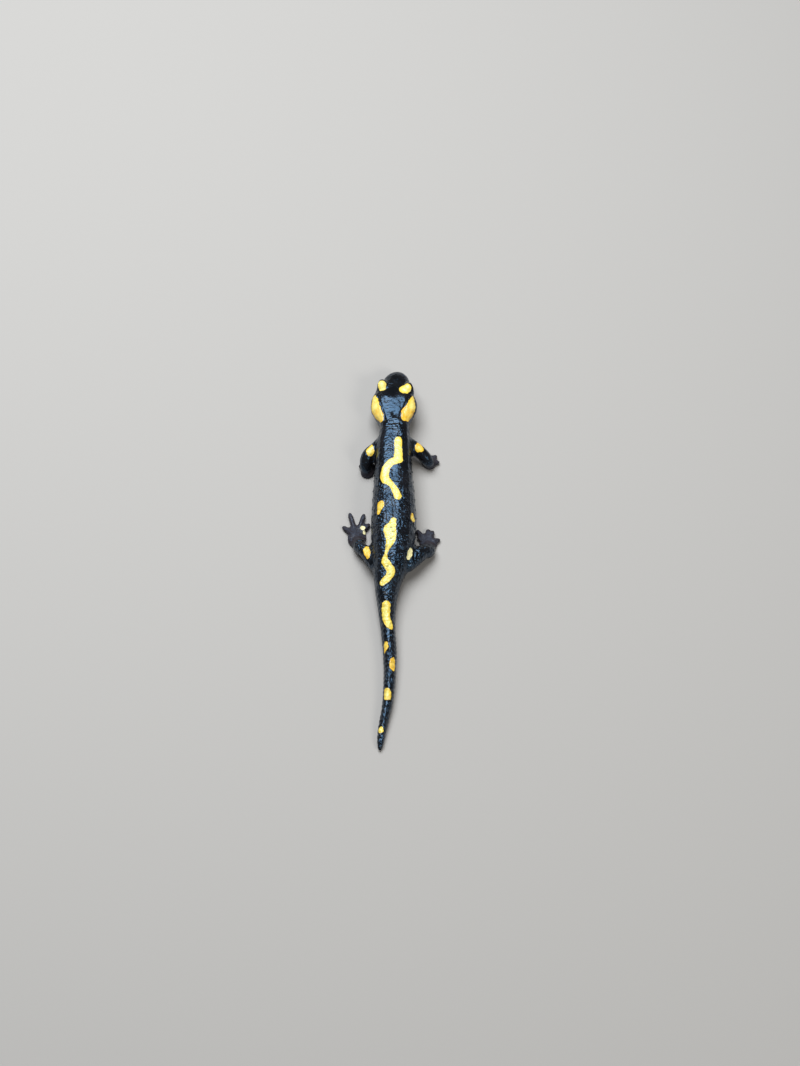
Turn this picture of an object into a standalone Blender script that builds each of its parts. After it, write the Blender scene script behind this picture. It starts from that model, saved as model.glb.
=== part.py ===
"""Fire salamander (Salamandra salamandra), a life-size still model.

The animal rests on its belly, four feet and tail, head a little raised and turned slightly to its
right. Metres, +Z up, head towards +Y. The origin is on the floor, under the middle of its box.
The solids are a body loft cut across at the neck, chest, hips and tail, a lower jaw, two eyes in
their sockets, and four limbs of three lengths each. Touching solids keep a gap between them.
"""

import math
from collections import namedtuple

import bmesh
import bpy
from mathutils import Matrix, Vector

MM = 0.001  # the sizes below are in millimetres
GAP = 0.3  # between neighbouring solids
HALF_GAP = GAP / 2
BLOCK = 0.4  # side of the blocks that cut solids off flat, in metres

# ---------------------------------------------------------------- body: driving dimensions (mm)
# Down the body, head to tail: distance forward, sideways place of the midline, half width, heights
# of the underside, of the widest level and of the back, and the power of the upper outline: 2 is
# an ellipse, and more is flatter on top. What lies under the floor is cut off level, which gives
# the belly and the tail their flats.
Landmark = namedtuple("Landmark", "name y x half_width low wide top power")
LANDMARKS = (
    Landmark("snout tip", 88.2, 3.00, 4.5, 3.3, 5.6, 8.5, 2.2),
    Landmark("nostrils", 85.0, 2.65, 5.1, 2.9, 5.9, 9.6, 2.2),
    Landmark("eyes", 79.2, 1.90, 6.9, 2.6, 6.3, 11.0, 2.2),
    Landmark("mouth corners", 76.0, 1.50, 8.5, 2.5, 6.5, 11.6, 2.2),
    Landmark("cheeks", 71.0, 1.20, 9.3, 2.5, 6.6, 12.15, 2.2),
    Landmark("gland ends", 66.3, 1.20, 9.0, 2.6, 6.8, 12.65, 2.3),
    Landmark("nape", 61.9, 1.35, 6.8, 2.7, 7.0, 13.0, 2.7),
    Landmark("neck", 59.0, 1.50, 6.3, 2.6, 7.2, 13.25, 3.1),
    Landmark("shoulders", 50.0, 1.20, 7.3, 1.5, 7.0, 14.1, 3.1),
    Landmark("ribs", 38.0, 1.00, 8.0, 0.3, 6.9, 15.0, 2.7),
    Landmark("belly", 15.0, 1.20, 9.5, -0.4, 6.8, 15.7, 2.4),
    Landmark("flank", 5.0, 0.80, 9.1, -0.4, 6.6, 15.2, 2.3),
    Landmark("hips", -4.0, 0.00, 7.9, -0.2, 6.2, 13.6, 2.2),
    Landmark("vent", -12.0, -1.20, 6.1, -0.4, 5.4, 11.6, 2.2),
    Landmark("tail root", -19.5, -1.70, 4.6, -0.3, 4.9, 9.9, 2.2),
    Landmark("tail, first quarter", -30.0, -1.45, 3.35, -0.3, 4.1, 8.2, 2.2),
    Landmark("tail, middle", -48.0, -0.35, 2.80, -0.3, 3.2, 6.4, 2.2),
    Landmark("tail, last third", -66.0, -1.15, 2.25, -0.2, 2.5, 5.0, 2.2),
    Landmark("tail end", -80.0, -3.60, 1.80, -0.2, 1.8, 3.6, 2.2),
    Landmark("tail tip", -88.3, -4.55, 1.20, -0.1, 1.2, 2.3, 2.2),
)
SNOUT_ROUNDING = 5.0  # length over which the snout closes like half an ellipsoid
TIP_ROUNDING = 5.0  # the same at the end of the tail
POWER_BELOW = 2.3  # of the lower outline

# Swellings of the head: where, how far they reach, and how high they stand
Swelling = namedtuple("Swelling", "y lean reach_y reach_lean height")
PAROTOID = Swelling(69.0, 62.0, 6.4, 27.0, 1.0)  # the long poison gland behind each eye
BROW = Swelling(80.0, 38.0, 3.0, 20.0, 0.5)  # the raised edge of the skull over each eye

BODY_SIDES = 24
BODY_PARTS = (  # name, front cut, rear cut, rings
    ("neck", 61.0, 53.5, 5),
    ("chest", 53.5, 33.0, 9),
    ("belly", 33.0, 9.0, 9),
    ("hips", 9.0, -14.0, 11),
    ("tail_root", -14.0, -32.0, 7),
    ("tail_middle", -32.0, -52.0, 7),
    ("tail_rear", -52.0, -71.0, 7),
    ("tail_tip", -71.0, LANDMARKS[-1].y, 9),
)
HEAD_REAR, HEAD_RINGS = 61.0, 17

# ---------------------------------------------------------------- head: eyes, lids and mouth (mm)
EYE_Y, EYE_OUT, EYE_Z = 78.5, 5.55, 8.9  # the ball's centre, measured from the midline
EYE_RADIUS, LID_THICKNESS = 2.15, 0.65
EYE_LOOKS = (0.93, 0.30, 0.12)  # outwards, forwards and upwards
OPENING_LONG, OPENING_TALL = 3.5, 2.5  # the gap between the lids
MOUTH_Z, MOUTH_CORNER_Y = 5.1, 73.0

# ---------------------------------------------------------------- limbs (mm)
# Each limb is a tapered tube from inside the body to the wrist or ankle (x, y, z, radius), bent at
# path[JOINT], then a flattened palm (x, y, half width, half length) with toes out to their tips.
Limb = namedtuple("Limb", "names path wrist_faces palm toes")
JOINT = 2
ARM, LEG = ("upper_arm", "forearm", "hand"), ("thigh", "shank", "foot")
LIMBS = {
    "left": Limb(
        names=ARM,
        path=(
            (-2.5, 53.0, 7.0, 4.0),
            (-6.3, 49.7, 7.4, 2.8),
            (-9.6, 46.9, 7.0, 2.7),
            (-10.5, 44.4, 4.9, 2.8),
            (-10.5, 42.2, 2.4, 2.4),
        ),
        wrist_faces=(0.0, 0.0, -1.0),
        palm=(-10.0, 41.9, 3.0, 2.9),
        toes=((-6.9, 45.3), (-8.6, 46.9), (-11.2, 47.3), (-13.2, 45.1)),
    ),
    "right": Limb(
        names=ARM,
        path=(
            (4.5, 53.0, 7.0, 4.0),
            (9.4, 50.3, 7.3, 2.9),
            (13.2, 47.4, 6.2, 2.8),
            (15.2, 45.7, 4.2, 2.6),
            (16.1, 45.0, 2.4, 2.2),
        ),
        wrist_faces=(0.0, 0.0, -1.0),
        palm=(16.2, 45.6, 2.5, 2.5),
        toes=((12.9, 49.0), (15.6, 50.9), (18.9, 49.9), (20.1, 46.7)),
    ),
    "rear_left": Limb(
        names=LEG,
        path=(
            (-2.5, -9.0, 6.0, 3.4),
            (-6.6, -4.6, 6.0, 3.2),
            (-10.5, 1.2, 4.9, 2.8),
            (-12.7, 4.1, 3.4, 2.8),
            (-13.4, 6.8, 2.0, 3.0),
        ),
        wrist_faces=(-0.4, 0.85, -0.35),
        palm=(-14.2, 10.0, 4.1, 4.7),
        toes=((-11.0, 12.9), (-9.0, 16.9), (-11.2, 21.8), (-17.4, 22.3), (-20.2, 15.6)),
    ),
    "rear_right": Limb(
        names=LEG,
        path=(
            (3.0, -7.3, 6.0, 3.7),
            (8.1, -3.7, 6.0, 3.6),
            (12.9, 1.1, 5.0, 3.3),
            (15.2, 2.7, 3.2, 3.1),
            (15.7, 4.7, 1.9, 2.8),
        ),
        wrist_faces=(0.1, 0.92, -0.38),
        palm=(15.5, 7.6, 4.0, 3.6),
        toes=((11.0, 10.4), (10.6, 13.8), (15.4, 14.2), (17.6, 13.4), (20.3, 9.3)),
    ),
}
PALM_Z, PALM_HALF_HEIGHT = 0.8, 1.5
TOE_LENGTHS = (  # a toe's profile: share of the way from the palm's middle to the tip, radius
    (0.22, 1.28),
    (0.55, 1.20),
    (0.82, 1.12),
    (0.95, 0.86),
    (1.00, 0.40),
)
TOE_PRESS = 0.9  # the height of a toe's axis, in radii: the rest is flattened on the floor
WRIST_RISE = Vector((0, 0, 0.5))  # how far above the limb's end the hand or foot is parted
LIMB_CLEARANCE, CLEARANCE_RINGS = 12.0, 21  # the body is repeated this far past a limb to cut it
LIMB_RESOLUTION, TOE_RESOLUTION = 3, 2  # a tube has 4 + 2 x resolution sides

COLOURS = {  # base colour and roughness
    "skin": ((0.012, 0.012, 0.014, 1.0), 0.30),
    "eye": ((0.010, 0.007, 0.005, 1.0), 0.08),
}
SHARP_EDGE = math.radians(40)


# ---------------------------------------------------------------- shape of the body
def column(y, field):
    """A landmark's value at station y, on a cubic curve through the landmarks' own values."""
    rows = [(mark.y, getattr(mark, field)) for mark in LANDMARKS]
    y = min(max(y, rows[-1][0]), rows[0][0])
    i = next(n for n in range(len(rows) - 1) if y >= rows[n + 1][0])
    slopes = []
    for n in (i, i + 1):
        before, after = rows[max(n - 1, 0)], rows[min(n + 1, len(rows) - 1)]
        slopes.append((after[1] - before[1]) / (after[0] - before[0]))
    (y0, v0), (y1, v1) = rows[i], rows[i + 1]
    span = y1 - y0
    t = (y - y0) / span
    return (
        v0 * (1 + 2 * t) * (1 - t) ** 2
        + v1 * t * t * (3 - 2 * t)
        + slopes[0] * span * t * (1 - t) ** 2
        - slopes[1] * span * t * t * (1 - t)
    )


def body_frame(y):
    """At station y of the midline: the place (z = 0), and the directions forwards and to the right."""
    step = 0.5
    turn = math.atan2(column(y + step, "x") - column(y - step, "x"), 2 * step)
    ahead = Vector((math.sin(turn), math.cos(turn), 0))
    right = Vector((math.cos(turn), -math.sin(turn), 0))
    return Vector((column(y, "x"), y, 0)), ahead, right


def closing(y):
    """1 along the body, falling to 0 at the snout and the tail's end as an ellipse does."""
    ahead = (y - (LANDMARKS[0].y - SNOUT_ROUNDING)) / SNOUT_ROUNDING
    behind = (LANDMARKS[-1].y + TIP_ROUNDING - y) / TIP_ROUNDING
    past = min(max(ahead, behind, 0.0), 1.0)
    return math.sqrt(1 - past * past)


def swelling(mark, y, lean):
    away = ((y - mark.y) / mark.reach_y) ** 2 + ((abs(lean) - mark.lean) / mark.reach_lean) ** 2
    return mark.height * math.exp(-away * away)


def section_point(y, lean, grow=0.0):
    """The point of the surface at station y, lean degrees round from the top of the back (mm)."""
    across, up = math.sin(math.radians(lean)), math.cos(math.radians(lean))
    wide = column(y, "wide")
    if up >= 0:
        height, power = column(y, "top") - wide, column(y, "power")
    else:
        height, power = wide - column(y, "low"), POWER_BELOW
    outline = abs(across) / column(y, "half_width"), abs(up) / height
    radius = (outline[0] ** power + outline[1] ** power) ** (-1 / power) * closing(y)
    radius += swelling(PAROTOID, y, lean) + swelling(BROW, y, lean) + grow
    place, _, right = body_frame(y)
    point = place + right * (radius * across)
    point.z = max(wide + radius * up, 0.0)
    return point


# ---------------------------------------------------------------- Blender helpers
def clear_scene():
    for obj in list(bpy.data.objects):
        bpy.data.objects.remove(obj, do_unlink=True)


def new_collection(name):
    collection = bpy.data.collections.new(name)
    bpy.context.scene.collection.children.link(collection)
    return collection


def new_material(name, finish):
    colour, roughness = COLOURS[finish]
    made = bpy.data.materials.new(name)
    made.use_nodes = True
    shader = made.node_tree.nodes["Principled BSDF"]
    shader.inputs["Base Color"].default_value = colour
    shader.inputs["Roughness"].default_value = roughness
    shader.inputs["Metallic"].default_value = 0.0
    return made


def object_of(name, mesh, collection, finish="skin"):
    obj = bpy.data.objects.new(name, mesh)
    collection.objects.link(obj)
    mesh.materials.clear()
    mesh.materials.append(new_material(f"{name}_{finish}", finish))
    mesh.shade_smooth()
    mesh.set_sharp_from_angle(angle=SHARP_EDGE)
    return obj


def object_from(name, shell, collection, finish="skin"):
    """An object from a bmesh, which is then freed."""
    mesh = bpy.data.meshes.new(name)
    shell.to_mesh(mesh)
    shell.free()
    return object_of(name, mesh, collection, finish)


def evaluated_mesh(obj):
    bpy.context.view_layer.update()
    graph = bpy.context.evaluated_depsgraph_get()
    return bpy.data.meshes.new_from_object(obj.evaluated_get(graph))


def boolean(obj, other, operation):
    """Changes obj's mesh by a Boolean with other, and removes other."""
    modifier = obj.modifiers.new(operation.title(), "BOOLEAN")
    modifier.operation = operation
    modifier.object = other
    modifier.solver = "EXACT"
    made = evaluated_mesh(obj)
    obj.modifiers.remove(modifier)
    obj.data = made
    bpy.data.objects.remove(other, do_unlink=True)


def tube(name, points, resolution, collection):
    """A tapered tube with filled ends along (x, y, z, radius) points in mm, as a closed mesh."""
    curve = bpy.data.curves.new(name, "CURVE")
    curve.dimensions = "3D"
    curve.bevel_depth = MM
    curve.bevel_resolution = resolution
    curve.use_fill_caps = True
    spline = curve.splines.new("POLY")
    spline.points.add(len(points) - 1)
    for point, (x, y, z, radius) in zip(spline.points, points):
        point.co = (x * MM, y * MM, z * MM, 1.0)
        point.radius = radius
    guide = bpy.data.objects.new(name, curve)
    collection.objects.link(guide)
    shell = bmesh.new()
    shell.from_mesh(evaluated_mesh(guide))
    bpy.data.objects.remove(guide, do_unlink=True)
    bmesh.ops.remove_doubles(shell, verts=shell.verts, dist=1e-6)
    bmesh.ops.recalc_face_normals(shell, faces=shell.faces)
    return object_from(name, shell, collection)


def ball(name, centre, radii, turned, collection, finish="skin"):
    """An ellipsoid of half axes radii (mm)."""
    size = Matrix.Diagonal((*(r * MM for r in radii), 1.0))
    place = Matrix.Translation(Vector(centre) * MM) @ turned @ size
    shell = bmesh.new()
    bmesh.ops.create_uvsphere(shell, u_segments=16, v_segments=10, radius=1.0, matrix=place)
    return object_from(name, shell, collection, finish)


def beyond(point, way, collection):
    """A large block that starts with a flat face at point (mm) and reaches along way."""
    turned = Vector(way).to_track_quat("Z", "Y").to_matrix().to_4x4()
    place = Matrix.Translation(Vector(point) * MM) @ turned @ Matrix.Translation((0, 0, BLOCK / 2))
    shell = bmesh.new()
    bmesh.ops.create_cube(shell, size=BLOCK, matrix=place)
    return object_from("beyond", shell, collection)


# ---------------------------------------------------------------- body lengths
def ring_places(front, rear, rings):
    """Ring stations from front to rear, closer together where the snout or the tail closes."""
    places = []
    for n in range(rings):
        share = n / (rings - 1)
        if front == LANDMARKS[0].y:
            share = 1 - math.cos(share * math.pi / 2)
        elif rear == LANDMARKS[-1].y:
            share = math.sin(share * math.pi / 2)
        places.append(front + (rear - front) * share)
    return places


def body_length(name, front, rear, rings, collection, grow=0.0):
    """A closed length of the body between two cross cuts, lofted through its sections."""
    shell = bmesh.new()
    loops = []
    for y in ring_places(front, rear, rings):
        leans = [360.0 * n / BODY_SIDES - 180.0 for n in range(BODY_SIDES)]
        if y in (LANDMARKS[0].y, LANDMARKS[-1].y):
            leans = [0.0]
        loops.append([shell.verts.new(section_point(y, lean, grow) * MM) for lean in leans])
    for ahead, behind in zip(loops, loops[1:]):
        for n in range(BODY_SIDES):
            after = (n + 1) % BODY_SIDES
            if len(ahead) == 1:
                shell.faces.new((ahead[0], behind[n], behind[after]))
            elif len(behind) == 1:
                shell.faces.new((ahead[n], behind[0], ahead[after]))
            else:
                shell.faces.new((ahead[n], behind[n], behind[after], ahead[after]))
    for loop in (loops[0], loops[-1]):
        if len(loop) > 1:
            shell.faces.new(loop)
    bmesh.ops.recalc_face_normals(shell, faces=shell.faces)
    return object_from(name, shell, collection)


def make_body(collection):
    for name, front, rear, rings in BODY_PARTS:
        rear_cut = rear if rear == LANDMARKS[-1].y else rear + HALF_GAP
        body_length(name, front - HALF_GAP, rear_cut, rings, collection)


# ---------------------------------------------------------------- head
def make_eye(name, side, head, collection, cutters):
    """The ball in its socket, under lids that bulge from the skull and open to the side."""
    place, ahead, right = body_frame(EYE_Y)
    centre = place + right * (side * EYE_OUT) + Vector((0, 0, EYE_Z))
    look = right * (side * EYE_LOOKS[0]) + ahead * EYE_LOOKS[1] + Vector((0, 0, EYE_LOOKS[2]))
    look.normalize()
    along = Vector((0, 0, 1)).cross(look).normalized()
    turned = Matrix((along, look.cross(along), look)).transposed().to_4x4()
    lid = EYE_RADIUS + GAP + LID_THICKNESS
    opening = OPENING_LONG / 2, OPENING_TALL / 2, lid
    boolean(head, ball("lids", centre, (lid,) * 3, turned, cutters), "UNION")
    boolean(head, ball("socket", centre, (EYE_RADIUS + GAP,) * 3, turned, cutters), "DIFFERENCE")
    boolean(head, ball("opening", centre + look * lid, opening, turned, cutters), "DIFFERENCE")
    ball(name, centre, (EYE_RADIUS,) * 3, turned, collection, finish="eye")


def make_head(collection, cutters):
    """Skull and upper jaw in one piece, the lower jaw under it, and both eyes."""
    lengths = LANDMARKS[0].y, HEAD_REAR + HALF_GAP, HEAD_RINGS
    corner, ahead, _ = body_frame(MOUTH_CORNER_Y)
    up = Vector((0, 0, 1))
    mouth = corner + up * MOUTH_Z
    jaw = body_length("lower_jaw", *lengths, collection)
    boolean(jaw, beyond(mouth - up * HALF_GAP, up, cutters), "DIFFERENCE")
    boolean(jaw, beyond(corner + ahead * HALF_GAP, -ahead, cutters), "DIFFERENCE")
    head = body_length("head", *lengths, collection)
    below = beyond(mouth + up * HALF_GAP, -up, cutters)
    boolean(below, beyond(corner - ahead * HALF_GAP, -ahead, cutters), "DIFFERENCE")
    boolean(head, below, "DIFFERENCE")
    make_eye("eye_left", -1, head, collection, cutters)
    make_eye("eye_right", 1, head, collection, cutters)


# ---------------------------------------------------------------- limbs
def smooth_path(points, steps=3):
    """The given points with others between them on a Catmull-Rom curve, radius included."""
    rows = [Vector(p) for p in points]
    made = [rows[0]]
    for n in range(len(rows) - 1):
        p0, p1 = rows[max(n - 1, 0)], rows[n]
        p2, p3 = rows[n + 1], rows[min(n + 2, len(rows) - 1)]
        for step in range(1, steps + 1):
            t = step / steps
            line = 2 * p1 + (p2 - p0) * t
            bend = (2 * p0 - 5 * p1 + 4 * p2 - p3) * t * t + (3 * p1 - p0 - 3 * p2 + p3) * t**3
            made.append((line + bend) / 2)
    return [tuple(p) for p in made]


def toe_path(palm, tip):
    """From inside the palm straight to the toe's tip, with its underside pressed to the floor."""
    (x, y), (tip_x, tip_y) = palm[:2], tip
    path = []
    for share, radius in TOE_LENGTHS:
        place = x + (tip_x - x) * share, y + (tip_y - y) * share
        path.append((*place, radius * TOE_PRESS, radius))
    return path


def make_limb(suffix, limb, collection, cutters):
    """One limb made whole, cut clear of the body and the floor, then cut across into its lengths."""
    x, y, half_wide, half_long = limb.palm
    path = smooth_path((*limb.path, (x, y, PALM_Z, PALM_HALF_HEIGHT)))
    whole = tube("whole_limb", path, LIMB_RESOLUTION, cutters)
    palm = (x, y, PALM_Z), (half_wide, half_long, PALM_HALF_HEIGHT)
    boolean(whole, ball("palm", *palm, Matrix.Identity(4), cutters), "UNION")
    for tip in limb.toes:
        boolean(whole, tube("toe", toe_path(limb.palm, tip), TOE_RESOLUTION, cutters), "UNION")
    stations = [point[1] for point in limb.path]
    reach = max(stations) + LIMB_CLEARANCE, min(stations) - LIMB_CLEARANCE, CLEARANCE_RINGS
    boolean(whole, body_length("clearance", *reach, cutters, grow=GAP), "DIFFERENCE")
    boolean(whole, beyond((x, y, 0), (0, 0, -1), cutters), "DIFFERENCE")

    before, joint, after = (Vector(limb.path[JOINT + n][:3]) for n in (-1, 0, 1))
    wrist, faces = Vector(limb.path[-1][:3]) + WRIST_RISE, Vector(limb.wrist_faces)
    cuts = (joint, (after - before).normalized()), (wrist, faces.normalized())
    for n, name in enumerate(limb.names):
        length = object_of(f"{name}_{suffix}", whole.data.copy(), collection)
        if n < len(cuts):
            point, way = cuts[n]
            boolean(length, beyond(point - way * HALF_GAP, way, cutters), "DIFFERENCE")
        if n > 0:
            point, way = cuts[n - 1]
            boolean(length, beyond(point + way * HALF_GAP, -way, cutters), "DIFFERENCE")
    bpy.data.objects.remove(whole, do_unlink=True)


def main():
    clear_scene()
    parts, cutters = new_collection("fire_salamander"), new_collection("cutters")
    make_head(parts, cutters)
    make_body(parts)
    for suffix, limb in LIMBS.items():
        make_limb(suffix, limb, parts, cutters)


main()
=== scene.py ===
"""Looks for the fire salamander: one glossy black and yellow skin, gland pores and two eyes."""

import math

import bmesh
import bpy
import numpy as np
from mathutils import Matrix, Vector, noise
from mathutils.bvhtree import BVHTree


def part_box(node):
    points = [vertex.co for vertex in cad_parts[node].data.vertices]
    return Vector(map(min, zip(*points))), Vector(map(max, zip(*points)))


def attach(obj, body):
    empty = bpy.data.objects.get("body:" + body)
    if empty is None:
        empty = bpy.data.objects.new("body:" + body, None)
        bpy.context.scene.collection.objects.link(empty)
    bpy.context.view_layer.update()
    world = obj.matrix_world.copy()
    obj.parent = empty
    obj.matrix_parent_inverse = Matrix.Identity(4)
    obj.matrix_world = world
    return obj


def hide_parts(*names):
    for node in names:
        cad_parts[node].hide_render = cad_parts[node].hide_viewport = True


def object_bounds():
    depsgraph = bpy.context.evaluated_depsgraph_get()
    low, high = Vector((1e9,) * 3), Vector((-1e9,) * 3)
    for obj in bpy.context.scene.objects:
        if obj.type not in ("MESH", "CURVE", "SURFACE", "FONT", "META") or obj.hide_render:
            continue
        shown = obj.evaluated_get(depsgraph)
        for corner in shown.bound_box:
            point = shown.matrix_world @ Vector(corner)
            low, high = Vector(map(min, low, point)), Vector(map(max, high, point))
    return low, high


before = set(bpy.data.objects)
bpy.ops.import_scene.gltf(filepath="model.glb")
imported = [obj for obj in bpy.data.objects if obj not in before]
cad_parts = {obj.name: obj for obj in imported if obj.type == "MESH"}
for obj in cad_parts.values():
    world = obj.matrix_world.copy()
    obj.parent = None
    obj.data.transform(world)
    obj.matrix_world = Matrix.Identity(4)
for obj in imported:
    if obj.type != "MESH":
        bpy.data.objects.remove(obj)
cad_low, cad_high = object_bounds()
MM = 0.001  # sizes below are in millimetres

# ======== The flesh
# The animal's whole soft body: head, jaw, trunk, tail and four limbs grown into one form.
# It is laid over the solids of the frame: they are swelled until they meet, wrapped in one
# closed shell, ironed free of facets and drawn back in, with webs of skin where limbs join.
EYES = ("eye_left", "eye_right")
TRUNK = (
    "head", "lower_jaw", "neck", "chest", "belly", "hips",
    "tail_root", "tail_middle", "tail_rear", "tail_tip",
)
FLESH = tuple(sorted(set(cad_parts) - set(EYES)))
PAWS = tuple(name for name in FLESH if name.startswith(("hand", "foot")))
SWELL = 0.28  # how far each solid swells so that the slits between them close
WRAP = 0.49  # side of the shell's faces
SAME_PLACE = 1e-7  # corners this near, in metres, are one
IRONING, DRAW_IN, LET_OUT = 22, 0.5, 0.53  # rounds, and shares of the way in and out again
WEB_BLUR, WEB_ROUNDS, ANKLE_ROUNDS = 8, 30, 18


def solid_shape(name):
    """A frame solid's corners in millimetres, their outward ways, and its faces."""
    shell = bmesh.new()
    shell.from_mesh(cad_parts[name].data)
    bmesh.ops.remove_doubles(shell, verts=shell.verts, dist=SAME_PLACE)
    shell.normal_update()
    corners = np.array([v.co / MM for v in shell.verts])
    outward = np.array([v.normal for v in shell.verts])
    faces = np.array([[v.index for v in f.verts] for f in shell.faces])
    shell.free()
    return corners, outward, faces


def joined_solids(names, swell=0.0):
    """Several solids as one list of corners, one of faces, and each face's solid."""
    corners, faces, owners, start = [], [], [], 0
    for name in names:
        points, outward, sides = solid_shape(name)
        corners.append(points + outward * swell)
        faces.append(sides + start)
        owners += [name] * len(sides)
        start += len(points)
    return np.vstack(corners), np.vstack(faces), owners


def mesh_of(name, places, faces):
    """A mesh from places in millimetres."""
    mesh = bpy.data.meshes.new(name)
    mesh.from_pydata((np.asarray(places) * MM).tolist(), [], [list(f) for f in faces])
    mesh.update()
    return mesh


def piece_of(name, mesh):
    """A piece with that mesh, at the origin."""
    piece = bpy.data.objects.new(name, mesh)
    bpy.context.scene.collection.objects.link(piece)
    return piece


def evaluated(piece):
    """The piece's mesh with its modifiers applied, as a new plain mesh."""
    bpy.context.view_layer.update()
    graph = bpy.context.evaluated_depsgraph_get()
    return bpy.data.meshes.new_from_object(piece.evaluated_get(graph))


def wrapped(names):
    """One closed shell of small quads over those solids."""
    corners, faces, _ = joined_solids(names, SWELL)
    piece = piece_of("wrap", mesh_of("wrap", corners, faces))
    wrap = piece.modifiers.new("wrap", "REMESH")
    wrap.mode, wrap.voxel_size, wrap.adaptivity = "VOXEL", WRAP * MM, 0.0
    mesh = evaluated(piece)
    bpy.data.objects.remove(piece)
    return mesh


def read_rows(items, what, width, kind=float):
    """One row of numbers from each of a mesh's items."""
    values = np.zeros(len(items) * width, kind)
    items.foreach_get(what, values)
    return values.reshape(-1, width)


def corners_of(mesh):
    """The mesh's corners in millimetres, and its edges as pairs of corners."""
    return read_rows(mesh.vertices, "co", 3) / MM, read_rows(mesh.edges, "vertices", 2, int)


def outward_of(mesh):
    """The way out of the skin at every corner."""
    return read_rows(mesh.vertex_normals, "vector", 3)


def put_back(mesh, places):
    """The mesh's corners moved to those places."""
    mesh.vertices.foreach_set("co", (places * MM).ravel())
    mesh.update()


def averaged(values, ends):
    """Each corner's mean over the corners next to it."""
    table = np.asarray(values, float).reshape(len(values), -1)
    count = np.bincount(ends.ravel(), minlength=len(table))
    near, far = ends.T
    sums = [
        np.bincount(near, column[far], len(table)) + np.bincount(far, column[near], len(table))
        for column in table.T
    ]
    return (np.stack(sums, axis=1) / np.maximum(count, 1)[:, None]).reshape(np.shape(values))


def ironed(places, ends, rounds):
    """Small waves taken out and the form kept: each round draws in, then lets out again."""
    for _ in range(rounds):
        for step in (DRAW_IN, -LET_OUT):
            places = places + step * (averaged(places, ends) - places)
    return places


def blurred(values, ends, rounds):
    """Values or places spread evenly over the skin."""
    for _ in range(rounds):
        values = 0.5 * values + 0.5 * averaged(values, ends)
    return values


def nearest_solids(places, names):
    """For each place, the name of the solid that it lies on."""
    corners, faces, owners = joined_solids(names)
    tree = BVHTree.FromPolygons(corners.tolist(), faces.tolist())
    return np.array([owners[tree.find_nearest(Vector(place))[2]] for place in places])


flesh = wrapped(FLESH + EYES)
places, ends = corners_of(flesh)
put_back(flesh, ironed(places, ends, IRONING))
places = corners_of(flesh)[0] - outward_of(flesh) * SWELL
owners = nearest_solids(places, FLESH + EYES)
for names, rounds in ((TRUNK + EYES, WEB_ROUNDS), (PAWS, ANKLE_ROUNDS)):
    inside = blurred(np.isin(owners, names).astype(float), ends, WEB_BLUR)
    web = np.clip(4 * inside * (1 - inside), 0, 1)[:, None]
    for _ in range(rounds):
        places = places + 0.5 * web * (averaged(places, ends) - places)
put_back(flesh, places)

# ======== Down the body
# The body's own measures, taken off the trunk's solids: a station runs forward along the
# midline, and a lean is how far round from the top of the back, in degrees, right or left.
STATION_STEP = 1.0
EVENED = 3  # stations each way that the midline is evened over
AXIS_HEIGHT = 0.45  # of the body's height: where leans are measured from


def cut_across(names, stations):
    """Rows of station, left, right, low and high side of those solids cut across there."""
    corners, faces, _ = joined_solids(names)
    sides = np.vstack([faces[:, (0, 1)], faces[:, (1, 2)], faces[:, (2, 0)]])
    near, far = corners[sides[:, 0]], corners[sides[:, 1]]
    rows = []
    for station in stations:
        through = (near[:, 1] - station) * (far[:, 1] - station) < 0
        a, b = near[through], far[through]
        if len(a) > 2:
            cut = a + (b - a) * ((station - a[:, 1]) / (b[:, 1] - a[:, 1]))[:, None]
            (left, _, low), (right, _, high) = cut.min(axis=0), cut.max(axis=0)
            rows.append((station, left, right, low, high))
    return np.array(rows)


girths = cut_across(TRUNK, np.arange(cad_low.y / MM, cad_high.y / MM, STATION_STEP))
midline = np.pad((girths[:, 1] + girths[:, 2]) / 2, EVENED, "edge")
span = 2 * EVENED + 1
midline = np.convolve(midline, np.ones(span) / span, "valid")
midline_turn = np.gradient(midline, girths[:, 0])


def body_measures(places):
    """Each place's station, how far right of the midline it lies, and its lean."""
    x, y, z = places.T
    station = y
    for _ in range(2):
        off = x - np.interp(station, girths[:, 0], midline)
        station = y + off * np.interp(station, girths[:, 0], midline_turn)
    low, high = (np.interp(station, girths[:, 0], girths[:, n]) for n in (3, 4))
    lean = np.degrees(np.arctan2(off, z - low - AXIS_HEIGHT * (high - low)))
    return station, off, lean


# ======== Finer skin
# The head, the nape, the hands and the feet have finer skin than the flanks, and the lids,
# the nostrils and the lips the finest: their faces are cut in four, once or twice.
NAPE_END, NAPE_LEAN = 53.0, 40
HAND_HEIGHT, DIGIT_BLUR, DIGIT_ROUNDS, FINE_IRONING = 4.2, 2, 6, 4
EYE_REACH, NOSTRIL_REACH, LIP_REACH = 3.4, 1.3, 0.55
MOUTH_HEIGHT, MOUTH_CORNER, PAST_CORNER = 5.1, 73.0, 0.6
MOUTH_DROOP, DROOP_LENGTH = 0.5, 2.5  # how the mouth turns down towards its corners
NOSTRIL_STATION, NOSTRIL_LEAN = 86.0, 52.0
DEGREES_LIKE_ONE = 8  # a lean this far out counts as much as a millimetre
FAR = 99.0


def middle_of(node):
    low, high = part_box(node)
    return np.array((low + high) / 2) / MM


def nearest_place(places, station, lean):
    """The skin's corner at that station and lean."""
    stations, _, leans = body_measures(places)
    around = (leans - lean) / DEGREES_LIKE_ONE
    return places[np.argmin(np.square(stations - station) + np.square(around))]


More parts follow.
